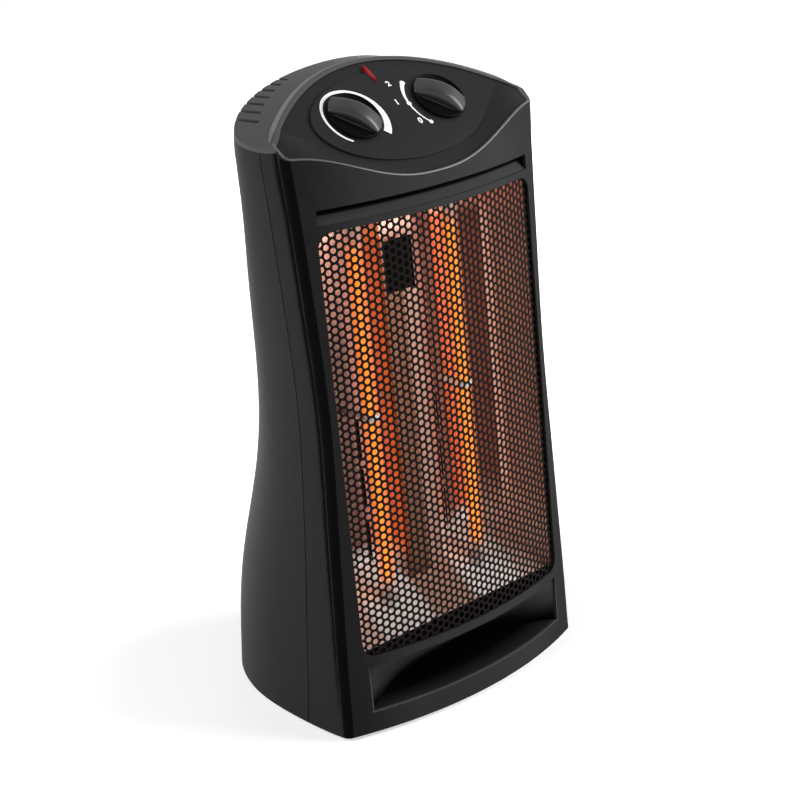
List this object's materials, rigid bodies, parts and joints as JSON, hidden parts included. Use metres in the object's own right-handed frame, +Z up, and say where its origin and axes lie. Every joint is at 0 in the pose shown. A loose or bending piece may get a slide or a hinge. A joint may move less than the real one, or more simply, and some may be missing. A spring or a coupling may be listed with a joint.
{
  "type": "quartz heater",
  "caption": "Upright radiant room heater with a bowed perforated grille over quartz tubes and a reflector, sloped panel with rotary controls, and a tip-over safety plunger.",
  "frame": {"origin": "centre of the footprint, on the floor under the feet", "axes": "+Z up, the grille faces -Y, +X is the right-hand side as seen facing the grille, and x = 0 is the plane of symmetry of the housing"},
  "size_m": [0.29, 0.284, 0.5755],
  "materials": {
    "shell_black": "fine moulded texture, satin",
    "crown_grey": "fine moulded texture, satin",
    "panel_black": "fine moulded texture",
    "plate_black": "satin with white print",
    "knob_black": "satin gloss",
    "lens_red": "clear red, polished",
    "clear_glass": "clear",
    "plated_steel": "zinc plated",
    "phenolic": "moulded, matt",
    "grille_steel": "dark satin enamel",
    "bright_sheet": "bright rolled sheet",
    "zinc_sheet": "galvanised sheet",
    "quartz": "satin quartz",
    "hot_wire": "glowing resistance wire",
    "ceramic": "unglazed",
    "foot_rubber": "matt",
    "plunger_white": "matt",
    "print_white": "white print"
  },
  "bodies": {
    "heater": {"front_frame": "shell_black", "rear_shell": "shell_black", "rear_crown": "crown_grey", "control_cap": "panel_black", "control_plate": "plate_black", "indicator_lens": "lens_red", "indicator_lamp": "clear_glass", "thermostat_body": "phenolic", "rotary_switch_body": "phenolic", "grille": "grille_steel", "reflector": "bright_sheet", "upper_end_plate": "bright_sheet", "lower_end_plate": "bright_sheet", "heat_shield": "zinc_sheet", "cutout_bracket": "zinc_sheet", "quartz_tube_left": "quartz", "quartz_tube_right": "quartz", "heating_coil_left": "hot_wire", "heating_coil_right": "hot_wire", "ceramic_ends": "ceramic", "tube_clips": "bright_sheet", "overheat_cutout": "phenolic", "base_plate": "zinc_sheet", "rubber_feet": "foot_rubber", "base_screws": "plated_steel", "tip_over_switch": "phenolic", "terminal_block": "phenolic", "cord_gland": "foot_rubber"},
    "thermostat_control": {"thermostat_knob": "knob_black", "thermostat_shaft": "plated_steel"},
    "power_control": {"power_knob": "knob_black", "power_shaft": "plated_steel"},
    "tip_plunger": {"tip_over_plunger": "plunger_white"}
  },
  "joints": [
    {"name": "thermostat_turn", "type": "hinge", "parent": "heater", "child": "thermostat_control", "pos_m": [-0.048, -0.0939, 0.537], "axis": [0, -0.6789, 0.7342], "range_deg": [0, 281]},
    {"name": "power_turn", "type": "hinge", "parent": "heater", "child": "power_control", "pos_m": [0.048, -0.0939, 0.537], "axis": [0, -0.6789, 0.7342], "range_deg": [0, 86]},
    {"name": "tip_plunger_slide", "type": "slide", "parent": "heater", "child": "tip_plunger", "axis": [0, 0, 1], "range_m": [-0.006, 0], "stiffness_N_per_m": 120, "springref_m": -0.006}
  ]
}
